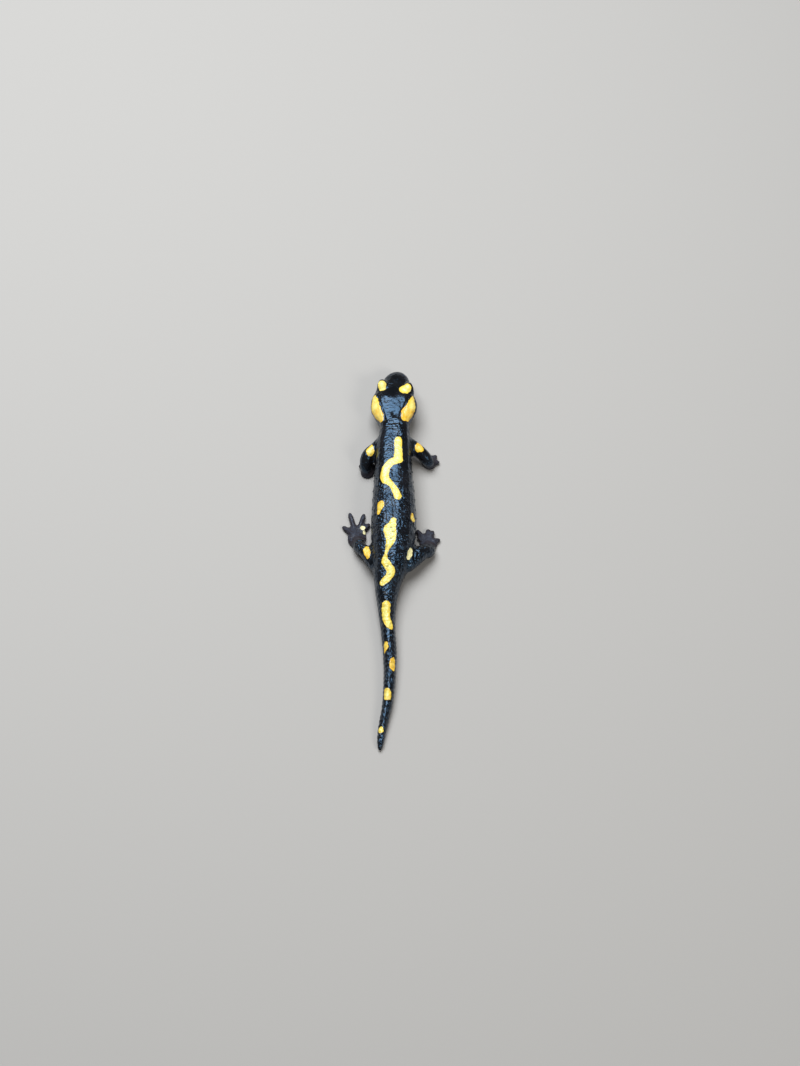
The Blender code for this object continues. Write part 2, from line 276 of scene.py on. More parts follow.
def cut_in_four(mesh, chosen):
    """The chosen faces cut in four, and the ones beside them cut to meet them."""
    work = bmesh.new()
    work.from_mesh(mesh)
    work.faces.ensure_lookup_table()
    edges = {e for n in np.flatnonzero(chosen) for e in work.faces[n].edges}
    bmesh.ops.subdivide_edges(work, edges=list(edges), cuts=1, use_grid_fill=True)
    finer = bpy.data.meshes.new(mesh.name)
    work.to_mesh(finer)
    work.free()
    return finer


def face_middles(mesh):
    return read_rows(mesh.polygons, "center", 3) / MM


def off_lip(places):
    """How far above the line of the mouth a place is; far from it behind the mouth's corners."""
    station = body_measures(places)[0]
    share = np.clip((MOUTH_CORNER + DROOP_LENGTH - station) / DROOP_LENGTH, 0, 1)
    above = places[:, 2] - MOUTH_HEIGHT + MOUTH_DROOP * np.square(share)
    return np.where(station > MOUTH_CORNER - PAST_CORNER, above, FAR)


middles = face_middles(flesh)
station, _, lean = body_measures(middles)
solid = nearest_solids(middles, FLESH + EYES)
digits = np.isin(solid, PAWS)
skull = np.isin(solid, ("head", "lower_jaw") + EYES)
nape = (station > NAPE_END) & (np.abs(lean) < NAPE_LEAN)
flesh = cut_in_four(flesh, skull | nape | (digits & (middles[:, 2] < HAND_HEIGHT)))
places, ends = corners_of(flesh)
places = ironed(places, ends, FINE_IRONING)
digits = np.isin(nearest_solids(places, FLESH + EYES), PAWS).astype(float)
digits = blurred(digits, ends, DIGIT_BLUR)[:, None]
for _ in range(DIGIT_ROUNDS):
    places = places + 0.5 * digits * (averaged(places, ends) - places)
put_back(flesh, places)

middles, places = face_middles(flesh), corners_of(flesh)[0]
nostrils = [nearest_place(places, NOSTRIL_STATION, side * NOSTRIL_LEAN) for side in (-1, 1)]
finest = np.abs(off_lip(middles)) < LIP_REACH
spots = [(middle_of(node), EYE_REACH) for node in EYES]
spots += [(nostril, NOSTRIL_REACH) for nostril in nostrils]
for centre, reach in spots:
    finest |= np.linalg.norm(middles - centre, axis=1) < reach
flesh = cut_in_four(flesh, finest)
places, ends = corners_of(flesh)
put_back(flesh, ironed(places, ends, FINE_IRONING))

# ======== Folds and glands
# What the skin does over the bones and muscles: grooves between the ribs, rings round the tail
# and a ridge along it, folds at the neck and throat, the long poison glands, the lips and the
# nostrils. Each moves the skin's corners a little in or out.
RIB_GROOVES, FIRST_GROOVE, GROOVE_SPACING, GROOVE_WANDER = 12, 44.0, 4.35, 0.35
GROOVE_DEPTH, GROOVE_HALF_WIDTH, GROOVE_SLANT, GROOVE_BEND = 0.26, 0.62, 1.6, 0.3
SPINE_DEPTH, SPINE_HALF_WIDTH = 0.16, 0.8
RING_SPACING, RING_DEPTH, RING_HALF_WIDTH, RING_WANDER = 2.2, 0.22, 0.44, 0.35
RING_OVER_TOP = 0.6  # share of the rings' depth along the top of the tail
RIDGE_FALL, RIDGE_HALF_WIDTH = 0.16, 1.0
UPPER = 8.0  # the top of the head and of the neck lies higher than this
NECK_RIB_SPACING, NECK_RIB_HEIGHT, NECK_HALF_WIDTH = 1.05, 0.04, 3.6
CROWN_STATION, CROWN_DIP, CROWN_REACH, CROWN_HEIGHT = 72.7, 1.7, 6.0, 0.36
GLAND_STATION, GLAND_LEAN, GLAND_LONG, GLAND_ROUND = 68.8, 62.0, 6.6, 27.0
GLAND_HEIGHT, GLAND_CREASE, CREASE_PLACE, CREASE_WIDTH = 0.30, 0.22, 1.18, 0.16
INNER_FOLDS = (  # between each gland and the top of the head: right and ahead
    ((-5.5, 72.2), (-4.9, 70.5), (-4.2, 68.0), (-3.6, 65.6), (-3.0, 63.1), (-2.8, 60.7)),
    ((7.2, 71.6), (6.7, 70.5), (6.0, 68.0), (5.0, 65.8), (4.0, 64.0), (3.7, 61.5)),
)
INNER_DEPTH, INNER_HALF_WIDTH = 0.34, 0.52
HOLLOW_STATION, HOLLOW_DEPTH, HOLLOW_WIDTH, HOLLOW_LENGTH = 63.7, 0.48, 1.5, 1.6
SNOUT_START, SNOUT_LENGTH, SNOUT_DROP, SNOUT_HALF_WIDTH = 73.0, 7.0, 0.55, 4.2
LIP_DEPTH, LIP_GROOVE, LIP_ROLL, CHIN_DEPTH = 0.42, 0.16, 0.14, 0.10
NOSTRIL_DEPTH, NOSTRIL_RADIUS, NOSTRIL_RIM = 0.45, 0.27, 0.05
THROAT_FOLDS = ((60.6, 0.42), (57.6, 0.22))  # station and depth
NECK_FOLDS = ((58.4, 0.20), (55.2, 0.26))
HIDE_WAVES = ((0.07, 2.6, 1), (0.045, 1.3, 2))  # height, length and seed
LIMB_SHARE, TRUNK_BLUR = 0.15, 4  # the limbs have this share of all the folds
VENT_STATION, VENT_REACH, VENT_HALF_WIDTH, VENT_DEPTH = -14.2, 2.4, 0.35, 0.35


def bell(away):
    return np.exp(-np.square(away))


def between(value, start, end, blend):
    """1 from start to end, and 0 outside them, turning smoothly over blend."""
    rise = np.clip((value - start) / blend + 0.5, 0, 1)
    fall = np.clip((end - value) / blend + 0.5, 0, 1)
    share = rise * fall
    return share * share * (3 - 2 * share)


def uneven(places, scale, seed):
    """Soft random values from -1 to 1 that change over about scale."""
    shift = Vector((seed * 7.1, seed * 3.7, seed * 5.3))
    return np.array([noise.noise(Vector(place) / scale + shift) for place in places])


def off_line(places, a, b):
    """How far along the line from a to b each place lies, as a share, and how far off it."""
    share = np.clip((places - a) @ (b - a) / ((b - a) @ (b - a)), 0, 1)
    return share, np.linalg.norm(places - a - share[:, None] * (b - a), axis=1)


places, ends = corners_of(flesh)
outward = outward_of(flesh)
station, off, lean = body_measures(places)
round_lean = np.abs(lean)
x, y, z = places.T
on_trunk = np.isin(nearest_solids(places, FLESH + EYES), TRUNK + EYES).astype(float)
on_trunk = blurred(on_trunk, ends, TRUNK_BLUR)
lift = np.zeros(len(places))
on_top = z > UPPER

sides = between(round_lean, 52, 142, 40)
for n in range(RIB_GROOVES):
    groove = FIRST_GROOVE - n * GROOVE_SPACING + GROOVE_WANDER * math.sin(2.3 * n)
    slant = GROOVE_SLANT * (round_lean - 90) / 90 + GROOVE_BEND * np.sin(round_lean / 17 + n)
    depth = GROOVE_DEPTH * (0.85 + 0.15 * math.sin(4.1 * n))
    lift -= depth * sides * bell((station - groove + slant) / GROOVE_HALF_WIDTH)

lift -= SPINE_DEPTH * bell(off / SPINE_HALF_WIDTH) * (z > 4) * between(station, -14, 48, 10)

tail = between(station, -84, -19, 6)
along = (station + RING_WANDER * np.sin(lean / 23)) / RING_SPACING
wave = np.abs(along - np.round(along)) * RING_SPACING
ring_share = RING_OVER_TOP + (1 - RING_OVER_TOP) * between(round_lean, 12, 175, 16)
lift -= RING_DEPTH * tail * bell(wave / RING_HALF_WIDTH) * ring_share

off_ridge = (1 - bell(off / RIDGE_HALF_WIDTH)) * between(round_lean, -30, 70, 40)
lift -= RIDGE_FALL * tail * off_ridge

neck_top = between(station, 53.5, 66.5, 4) * bell(off / NECK_HALF_WIDTH) * on_top
phase = 2 * math.pi * (station + 0.5 * uneven(places, 2.2, 4)) / NECK_RIB_SPACING
lift += NECK_RIB_HEIGHT * neck_top * np.cos(phase) * (0.6 + 0.6 * uneven(places, 1.9, 5))

crown = station - CROWN_STATION + CROWN_DIP * bell(off / 2.6)
tent = np.clip(1 - np.abs(crown) / CROWN_REACH, 0, 1)
lift += CROWN_HEIGHT * tent * between(off, -5.4, 5.4, 3.0) * on_top

gland = np.hypot((station - GLAND_STATION) / GLAND_LONG, (round_lean - GLAND_LEAN) / GLAND_ROUND)
lift += GLAND_HEIGHT * bell(gland / 0.85)
crease = bell((gland - CREASE_PLACE) / CREASE_WIDTH) * between(round_lean, 66, 181, 24)
lift -= GLAND_CREASE * crease * between(station, 59, 76, 3)

for fold in INNER_FOLDS:
    lines = zip(np.array(fold), np.array(fold[1:]))
    away = np.min([off_line(places[:, :2], a, b)[1] for a, b in lines], axis=0)
    lift -= INNER_DEPTH * bell(away / INNER_HALF_WIDTH) * on_top
hollow = bell(off / HOLLOW_WIDTH) * bell((station - HOLLOW_STATION) / HOLLOW_LENGTH)
lift -= HOLLOW_DEPTH * hollow * on_top
snout = np.clip((station - SNOUT_START) / SNOUT_LENGTH, 0, 1) * between(z, UPPER, FAR, 4)
lift -= SNOUT_DROP * snout * between(off, -SNOUT_HALF_WIDTH, SNOUT_HALF_WIDTH, 2.0)

above_lip = off_lip(places)
fades = between(station, MOUTH_CORNER - 0.2, FAR, 1.6)
lift -= LIP_DEPTH * fades * bell(above_lip / LIP_GROOVE)
lift += LIP_ROLL * fades * bell((above_lip - 0.62) / 0.42)
chin = between(above_lip, -3, -0.1, 0.5) * between(station, 80, FAR, 6)
lift -= CHIN_DEPTH * fades * chin

for nostril in nostrils:
    away = np.linalg.norm(places - nostril, axis=1)
    lift -= NOSTRIL_DEPTH * bell(away / NOSTRIL_RADIUS)
    lift += NOSTRIL_RIM * bell((away - 0.55) / 0.25)

below = between(round_lean, 92, 181, 24)
for fold, depth in THROAT_FOLDS:
    lift -= depth * below * bell((station - fold + 1.2 * bell(off / 3)) / 0.5)
at_side = between(round_lean, 52, 128, 30)
for fold, depth in NECK_FOLDS:
    lift -= depth * at_side * bell((station - fold - 0.012 * (round_lean - 90)) / 0.55)

hide = sum(height * uneven(places, length, seed) for height, length, seed in HIDE_WAVES)
lift += hide * (0.35 + 0.65 * between(station, -90, 74, 6))

lift *= LIMB_SHARE + (1 - LIMB_SHARE) * on_trunk
places = places + outward * lift[:, None]

vent = bell((station - VENT_STATION) / VENT_REACH) * bell(off / VENT_HALF_WIDTH) * (z < 1.0)
places[:, 2] += VENT_DEPTH * vent
low, high = np.array(cad_low) / MM, np.array(cad_high) / MM
places = np.clip(places, low, high)
put_back(flesh, places)

# ======== Eyelids and sockets
# Each eye looks out through two thick lids. The rim of the lids is rolled inwards and carried
# round behind the ball as the wall of its socket, so the skin stays one closed sheet.
LOOK_OUT, LOOK_AHEAD, LOOK_UP = 0.93, 0.30, 0.12
OPENING_HALF_LONG, OPENING_HALF_TALL = 1.72, 1.22
BALL_RADIUS = (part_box("eye_left")[1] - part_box("eye_left")[0]).y / 2 / MM
LID_ROLL = (  # how far back from the opening's edge, and how far off the ball
    (0.80, 0.66), (0.50, 0.62), (0.26, 0.53), (0.10, 0.41), (0.02, 0.28), (0.00, 0.17),
    (0.08, 0.09), (0.35, 0.07), (0.9, 0.08),
)
SOCKET_ROWS, LID_ROUNDS = 6, 14
LIDS_REACH, LID_THICK = 4.0, 0.5
IN_FRONT, BEHIND = 0.5, -0.4  # ahead of the ball's middle


def eye_axes(node, side):
    """The ball's middle, and the ways ahead along the lids, up across them, and out of the eye."""
    centre = middle_of(node)
    turn = math.atan(np.interp(centre[1], girths[:, 0], midline_turn))
    ahead = np.array((math.sin(turn), math.cos(turn), 0))
    right = np.array((math.cos(turn), -math.sin(turn), 0))
    look = side * LOOK_OUT * right + LOOK_AHEAD * ahead + LOOK_UP * np.array((0, 0, 1))
    look /= np.linalg.norm(look)
    upward = np.array((0, 0, 1)) - look[2] * look
    upward /= np.linalg.norm(upward)
    along = np.cross(upward, look) * side
    return centre, along, upward, look


def open_lids(mesh, node, side):
    """The skin over one eyeball cut out, and its edge rolled in round the ball."""
    centre, along, upward, look = eye_axes(node, side)
    work = bmesh.new()
    work.from_mesh(mesh)
    half = np.array((OPENING_HALF_LONG, OPENING_HALF_TALL))

    def across(v, wider):
        from_ball = np.array(v.co) / MM - centre
        return np.array((from_ball @ along, from_ball @ upward)) / (half + wider), from_ball @ look

    reach, _ = LID_ROLL[0]
    within = set()
    for v in work.verts:
        spot, ahead = across(v, reach)
        if ahead > IN_FRONT and spot @ spot < 1:
            within.add(v)
    gone = [f for f in work.faces if all(v in within for v in f.verts)]
    bmesh.ops.delete(work, geom=gone, context="FACES")
    rim = [e for e in work.edges if e.is_boundary]
    loop = [rim[0].verts[0]]
    edge = rim[0]
    while True:
        corner = edge.other_vert(loop[-1])
        if corner is loop[0]:
            break
        loop.append(corner)
        edge = next(e for e in corner.link_edges if e.is_boundary and e is not edge)
    angles = np.unwrap([math.atan2(s[1], s[0]) for s, _ in (across(v, reach) for v in loop)])
    way = 1 if angles[-1] > angles[0] else -1
    steps = way * 2 * math.pi * np.arange(len(loop)) / len(loop)
    angles = steps + np.mean(angles - steps)

    def ring(back, off_ball, deep=0.0):
        """Places round the opening: back from its edge, or a share deep of the way behind."""
        spot = np.outer(np.cos(angles) * half[0], along)
        spot += np.outer(np.sin(angles) * half[1], upward)
        out = np.linalg.norm(spot, axis=1)
        spread = np.arcsin(out / BALL_RADIUS) + back / BALL_RADIUS
        spread = spread + (math.pi - spread) * deep
        way_out = np.sin(spread)[:, None] * spot / out[:, None] + np.outer(np.cos(spread), look)
        return centre + way_out * (BALL_RADIUS + off_ball)

    rings = [ring(back, off_ball) for back, off_ball in LID_ROLL]
    last_back, last_off = LID_ROLL[-1]
    rings += [ring(last_back, last_off, n / SOCKET_ROWS) for n in range(1, SOCKET_ROWS)]
    pole = centre - look * (BALL_RADIUS + last_off)
    for v, place in zip(loop, rings[0]):
        v.co = Vector(place * MM)
    before = loop
    for places_in in rings[1:]:
        now = [work.verts.new(Vector(place * MM)) for place in places_in]
        for n in range(len(loop)):
            work.faces.new((before[n - 1], before[n], now[n], now[n - 1]))
        before = now
    end = work.verts.new(Vector(pole * MM))
    for n in range(len(loop)):
        work.faces.new((before[n - 1], before[n], end))
    bmesh.ops.recalc_face_normals(work, faces=work.faces)
    fixed = set(loop)
    ball = Vector(centre * MM)
    near = []
    for v in work.verts:
        if v not in fixed and (v.co - ball).length < LIDS_REACH * MM:
            spot, ahead = across(v, reach)
            if spot @ spot > 1 and ahead > BEHIND:
                near.append(v)
    for _ in range(LID_ROUNDS):
        means = []
        for v in near:
            beside = [e.other_vert(v).co for e in v.link_edges]
            means.append(sum(beside, Vector()) / len(beside))
        for v, place in zip(near, means):
            away = (v.co - ball).length
            v.co = v.co.lerp(place, 0.5)
            if (v.co - ball).length < (BALL_RADIUS + LID_THICK) * MM:
                v.co = ball + (v.co - ball).normalized() * away
    finished = bpy.data.meshes.new(mesh.name)
    work.to_mesh(finished)
    work.free()
    return finished


for node, side in zip(EYES, (-1, 1)):
    flesh = open_lids(flesh, node, side)

# ======== Markings
# The yellow marks are in the skin itself: blots on the eyelids, glands, limbs and tail and two
# broken stripes down the back. Each is a stroke laid along the skin, and every place of the
# skin keeps how far inside the yellow it lies and how orange the yellow is there.
# A stroke's orange runs below 0 towards cream. The cream of the right hip mark and of the last
# tail mark is painted highlight where they face the light.
STROKES = {  # name: how orange, then places along the stroke: right, ahead, half width
    "left eyelid": (-0.13, (-3.75, 78.5, 1.95), (-3.8, 77.4, 1.6)),
    "right eyelid": (0.1, (5.6, 76.3, 2.25), (6.3, 76.8, 2.25)),
    "left gland": (0.2, (-7.1, 73.3, 0.9), (-7.0, 70.8, 1.7), (-7.0, 68.4, 2.1),
        (-6.7, 66.5, 2.4)),
    "left gland end": (0.6, (-6.7, 66.5, 2.4), (-6.1, 64.6, 2.4), (-5.2, 62.9, 2.1),
        (-4.6, 61.8, 1.7)),
    "right gland": (0.3, (9.1, 73.6, 0.35), (9.1, 71.2, 1.1), (8.9, 69.6, 1.8), (8.8, 68.2, 2.1),
        (8.2, 66.4, 2.5)),
    "right gland end": (0.75, (8.2, 66.4, 2.5), (7.3, 64.6, 2.9), (6.6, 62.9, 2.5),
        (5.6, 61.7, 1.4)),
    "shoulder stripe": (0.05, (3.0, 49.9, 1.6), (3.0, 46.9, 1.55), (3.1, 43.4, 1.65),
        (3.0, 40.2, 2.0), (-0.3, 38.5, 1.55), (-2.3, 35.6, 1.7), (-2.8, 32.6, 1.9),
        (-2.4, 30.3, 1.8), (0.0, 28.1, 1.25), (1.3, 25.9, 1.3), (2.5, 23.1, 1.55),
        (2.8, 22.0, 1.6)),
    "left back spot": (0.5, (-4.2, 18.7, 1.7), (-4.4, 17.6, 1.5), (-5.0, 16.0, 0.9),
        (-5.25, 15.0, 0.9)),
    "right flank spot": (0.4, (8.8, 14.8, 0.8), (9.1, 13.2, 1.6)),
    "hip stripe": (0.0, (1.0, 10.7, 1.2), (0.6, 8.6, 1.7), (-0.6, 6.5, 2.6), (-0.2, 4.4, 2.5),
        (0.0, 2.5, 2.1), (-0.4, 0.8, 1.6), (-1.2, -0.9, 1.1), (-1.7, -2.6, 0.75),
        (-2.0, -4.1, 0.6), (-2.5, -5.8, 1.1), (-2.5, -7.1, 1.6), (-1.4, -8.7, 1.6),
        (-0.1, -10.5, 1.7), (-0.1, -12.0, 1.7), (-0.9, -13.7, 1.5), (-2.3, -15.0, 1.45),
        (-3.5, -16.0, 1.3)),
    "left arm": (0.25, (-8.2, 50.2, 0.25), (-8.3, 48.9, 1.05), (-8.8, 47.2, 1.75),
        (-8.7, 46.4, 1.5)),
    "right arm": (0.5, (11.8, 50.4, 1.2), (11.6, 49.0, 1.6), (12.3, 48.5, 1.6), (11.4, 47.9, 1.1)),
    "left hip": (0.42, (-10.0, 2.3, 0.8), (-10.3, 0.8, 1.35), (-9.9, -0.9, 1.5),
        (-9.5, -2.6, 0.9)),
    # painted highlight: the right hip mark is turned to cream where it faces the light
    "right hip": (-0.28, (8.2, -0.4, 0.95), (7.8, -2.1, 1.3), (7.1, -4.1, 0.9)),
    "left foot": (-0.5, (-12.0, 14.3, 0.85), (-11.6, 14.3, 0.85)),
    "left foot dot": (-0.5, (-11.1, 12.3, 0.85),),
    "tail 1": (0.15, (-2.0, -25.4, 1.8), (-2.2, -28.1, 1.85), (-2.2, -30.2, 1.7),
        (-1.7, -32.1, 1.7), (-0.6, -33.9, 1.55), (-0.1, -34.9, 1.15)),
    "tail 2": (0.5, (-2.1, -42.2, 1.05), (-2.0, -43.5, 1.2), (-2.3, -44.8, 0.75),
        (-2.6, -45.7, 0.2)),
    "tail 3": (0.58, (1.1, -49.0, 0.9), (0.8, -49.9, 1.25), (0.8, -51.3, 1.4), (0.7, -52.5, 1.3),
        (0.9, -53.4, 0.9)),
    "tail 4": (0.2, (-1.6, -63.4, 1.5), (-1.4, -64.5, 1.7), (-1.4, -65.7, 1.65)),
    # painted highlight: the last tail mark is turned to cream, as if glaring in the light
    "tail 5": (-0.1, (-4.1, -79.6, 1.1), (-4.1, -80.4, 1.1)),
}
SPECKS = (  # small black specks in the yellow over the hips: right, ahead, half width
    (0.1, 7.2, 0.42), (-0.4, 4.6, 0.45), (0.9, 5.6, 0.36), (0.0, 2.4, 0.4), (-1.6, -0.9, 0.36),
    (-1.4, -9.2, 0.42), (-1.9, -7.2, 0.36), (-3.6, -15.3, 0.4), (-0.6, -12.6, 0.36),
)
MARK_BLUR, TINT_BLUR = 1, 12  # rounds
UNMARKED, HIGH_ABOVE = -9.0, 100.0


def laid_on(tree, x, y):
    """The place of the skin straight under a point above the animal."""
    hit, *_ = tree.ray_cast(Vector((x, y, HIGH_ABOVE)), Vector((0, 0, -1)))
    return np.array(hit if hit else (x, y, 0.0))


def inside_stroke(places, spots, half_widths):
    """How far inside a stroke each place is, in millimetres: less than 0 outside it."""
    best = half_widths[0] - np.linalg.norm(places - spots[0], axis=1)
    for a, b, wide_a, wide_b in zip(spots, spots[1:], half_widths, half_widths[1:]):
        share, away = off_line(places, a, b)
        best = np.maximum(best, wide_a + (wide_b - wide_a) * share - away)
    return best


places, ends = corners_of(flesh)
skin_tree = BVHTree.FromPolygons(places.tolist(), [tuple(p.vertices) for p in flesh.polygons])
yellow, orange = np.full(len(places), UNMARKED), np.zeros(len(places))
for tint, *stroke in STROKES.values():
    spots = [laid_on(skin_tree, x, y) for x, y, _ in stroke]
    inside = inside_stroke(places, spots, [wide for *_, wide in stroke])
    orange = np.where(inside > yellow, tint, orange)
    yellow = np.maximum(yellow, inside)
speck = np.zeros(len(places))
for x, y, wide in SPECKS:
    away = np.linalg.norm(places - laid_on(skin_tree, x, y), axis=1)
    speck = np.maximum(speck, bell(away / wide))
yellow = blurred(yellow, ends, MARK_BLUR)
orange = blurred(orange, ends, TINT_BLUR)


def keep_on_corners(mesh, name, values):
    attribute = mesh.attributes.new(name, "FLOAT", "POINT")
    attribute.data.foreach_set("value", np.asarray(values, np.float32))


for name, values in (("yellow", yellow), ("orange", orange), ("speck", speck)):
    keep_on_corners(flesh, name, values)

# ======== The skin's finish
# Moist scaleless skin: black, with a cool sheen where it faces the light, and clear warm yellow
# in the marks. Its relief of fine granules and creases lies under a thin wet film. The sheen's
# blue is painted reflection: the colour of a sky, set as the tint of the skin's reflections.
BLACK, DUSKY = (0.0036, 0.0036, 0.0042, 1), (0.0100, 0.0090, 0.0094, 1)
UNDER, BROWN = (0.026, 0.023, 0.024, 1), (0.030, 0.019, 0.016, 1)
YELLOW, PALE_YELLOW = (0.89, 0.70, 0.095, 1), (0.92, 0.86, 0.27, 1)
# cream: partly the marks' own pale tone, partly painted highlight on marks that face the light
ORANGE, CREAM_AND_HIGHLIGHT = (0.87, 0.48, 0.024, 1), (0.96, 0.90, 0.52, 1)
# painted reflection: the blue of a sky, set as the tint of every reflection off the skin
SKY_BLUE_SHEEN = (0.30, 0.60, 1.0, 1)
GRANULE, CREASE, SWELLING, PATCH = 1.15, 1.20, 2.4, 7.0  # how long each is
DOME_SHARE, CREASE_SHARE, FINE_SHARE, SWELLING_SHARE = 0.40, 0.85, 0.07, 1.1
ACROSS_BODY = (0.35, 1.0, 0.55)  # creases run longest where this is least
SKIN_RELIEF = 0.48
RAGGED_LENGTH, RAGGED_DEPTH, BLUSH_LENGTH = 1.3, 0.9, 2.2
SMOOTHEST, ROUGHEST, MARKS_ROUGHER, PAWS_ROUGHER = 0.13, 0.25, 0.08, 0.45
FILM = 0.16
SKIN_FINISH = {
    "Coat Roughness": 0.10, "Specular Tint": SKY_BLUE_SHEEN, "IOR": 1.5, "Specular IOR Level": 0.65,
}
PAW_BLUR = 12
ON_CORNERS = ("yellow", "orange", "speck", "under", "dull")  # what the skin's corners keep


def new_tree(name, kind, inputs, outputs):
    """An empty node group with those named sockets, and its two end nodes."""
    tree = bpy.data.node_groups.new(name, kind)
    for way, sockets in (("INPUT", inputs), ("OUTPUT", outputs)):
        for label, sort in sockets.items():
            tree.interface.new_socket(label, in_out=way, socket_type="NodeSocket" + sort)
    return tree, tree.nodes.new("NodeGroupInput"), tree.nodes.new("NodeGroupOutput")


def add(tree, kind, settings=None, **links):
    """A node with its settings, and its inputs given by name (spaces as _) or by n0, n1, ..."""
    node = tree.nodes.new(kind)
    for key, value in (settings or {}).items():
        setattr(node, key, value)
    for key, value in links.items():
        numbered = key[0] == "n" and key[1:].isdigit()
        socket = node.inputs[int(key[1:]) if numbered else key.replace("_", " ")]
        if isinstance(value, bpy.types.NodeSocket):
            tree.links.new(value, socket)
        else:
            socket.default_value = value
    return node


def maths(tree, operation, *values, clamp=False):
    links = {f"n{n}": value for n, value in enumerate(values)}
    settings = {"operation": operation, "use_clamp": clamp}
    return add(tree, "ShaderNodeMath", settings, **links).outputs[0]


def mix(tree, share, first, second):
    """Two colours mixed."""
    node = add(tree, "ShaderNodeMix", {"data_type": "RGBA"}, n0=share, n6=first, n7=second)
    return node.outputs[2]


def ramp(tree, value, low, high, to_low=0.0, to_high=1.0):
    """A value turned smoothly from one range into another."""
    settings = {"interpolation_type": "SMOOTHSTEP"}
    links = {"n1": low, "n2": high, "n3": to_low, "n4": to_high}
    return add(tree, "ShaderNodeMapRange", settings, n0=value, **links).outputs[0]


def cloudy(tree, place, size, detail, **links):
    """Soft noise that changes over about size."""
    links.update(Vector=place, Scale=1 / (size * MM), Detail=detail)
    return add(tree, "ShaderNodeTexNoise", **links).outputs[0]


def make_skin_grain():
    """Relief of moist amphibian skin: rounded granules in shallow creases across the body."""
    ins = {"Place": "Vector", "Granule Size": "Float", "Crease Spacing": "Float"}
    outs = {"Height": "Float", "Mottle": "Float"}
    tree, start, end = new_tree("skin grain", "ShaderNodeTree", ins, outs)
    for label, length in (("Granule Size", GRANULE), ("Crease Spacing", CREASE)):
        tree.interface.items_tree[label].default_value = length * MM
    place, granule, crease = (start.outputs[n] for n in range(3))
    per_granule = maths(tree, "DIVIDE", 1.0, granule)
    cells = add(
        tree, "ShaderNodeTexVoronoi", {"feature": "SMOOTH_F1"},
        Vector=place, Scale=per_granule, Smoothness=0.6, Randomness=0.9,
    )
    domes = ramp(tree, cells.outputs["Distance"], 0.15, 0.75, 1.0, 0.0)
    drawn = add(tree, "ShaderNodeVectorMath", {"operation": "MULTIPLY"}, n0=place, n1=ACROSS_BODY)
    creases = add(
        tree, "ShaderNodeTexNoise", Vector=drawn.outputs[0],
        Scale=maths(tree, "DIVIDE", 1.0, crease), Detail=3.0, Roughness=0.5, Distortion=0.4,
    )
    fine = add(
        tree, "ShaderNodeTexNoise", Vector=place,
        Scale=maths(tree, "MULTIPLY", per_granule, 3.1), Detail=1.0,
    )
    wrinkled = ramp(tree, cloudy(tree, place, PATCH, 1.0), 0.38, 0.62, 0.95, 1.35)
    creased = maths(tree, "MULTIPLY", creases.outputs[0], wrinkled)
    swelling = cloudy(tree, place, SWELLING, 1.0)
    height = maths(tree, "MULTIPLY", domes, DOME_SHARE)
    height = maths(tree, "MULTIPLY_ADD", creased, CREASE_SHARE, height)
    height = maths(tree, "MULTIPLY_ADD", fine.outputs[0], FINE_SHARE, height)
    height = maths(tree, "MULTIPLY_ADD", swelling, SWELLING_SHARE, height)
    tree.links.new(height, end.inputs["Height"])
    mottle = ramp(tree, cloudy(tree, place, PATCH, 4.0), 0.35, 0.65)
    tree.links.new(mottle, end.inputs["Mottle"])
    return tree


def make_skin_colours():
    """Black and yellow of the skin, from how far inside a mark a place lies."""
    ins = {"Place": "Vector", "Mottle": "Float"}
    ins.update((name.title(), "Float") for name in ON_CORNERS)
    outs = {"Colour": "Color", "Marked": "Float"}
    tree, start, end = new_tree("skin colours", "ShaderNodeTree", ins, outs)
    place, mottle, yellow, orange, speck, under, dull = (start.outputs[n] for n in range(7))
    edge = maths(tree, "SUBTRACT", cloudy(tree, place, RAGGED_LENGTH, 3.0), 0.5)
    depth = maths(tree, "MULTIPLY_ADD", edge, RAGGED_DEPTH, yellow)
    marked = ramp(tree, depth, -0.07, 0.07)
    rim = ramp(tree, depth, 0.05, 0.4, 0.25, 0.0)
    blush = ramp(tree, cloudy(tree, place, BLUSH_LENGTH, 2.0), 0.42, 0.7, -0.12, 0.22)
    warmth = maths(tree, "ADD", orange, rim)
    warmth = maths(tree, "ADD", warmth, blush, clamp=True)
    pale = mix(tree, ramp(tree, depth, 0.4, 1.6), YELLOW, PALE_YELLOW)
    # Orange below 0 turns the yellow to cream, which on some marks is painted highlight.
    pale = mix(tree, ramp(tree, orange, -0.35, -0.05, 0.9, 0.0), pale, CREAM_AND_HIGHLIGHT)
    marks = mix(tree, warmth, pale, ORANGE)
    marks = mix(tree, maths(tree, "MULTIPLY", speck, 0.85), marks, DUSKY)
    dark = mix(tree, mottle, BLACK, DUSKY)
    dark = mix(tree, under, dark, UNDER)
    dark = mix(tree, dull, dark, BROWN)
    tree.links.new(mix(tree, marked, dark, marks), end.inputs["Colour"])
    tree.links.new(marked, end.inputs["Marked"])
    return tree


skin_grain, skin_colours = make_skin_grain(), make_skin_colours()


def new_material(name):
    material = bpy.data.materials.new(name)
    material.use_nodes = True
    return material, material.node_tree, material.node_tree.nodes["Principled BSDF"]


def set_values(node, values):
    for label, value in values.items():
        node.inputs[label].default_value = value


def attribute_of(tree, name):
    return add(tree, "ShaderNodeAttribute", {"attribute_name": name}).outputs["Fac"]


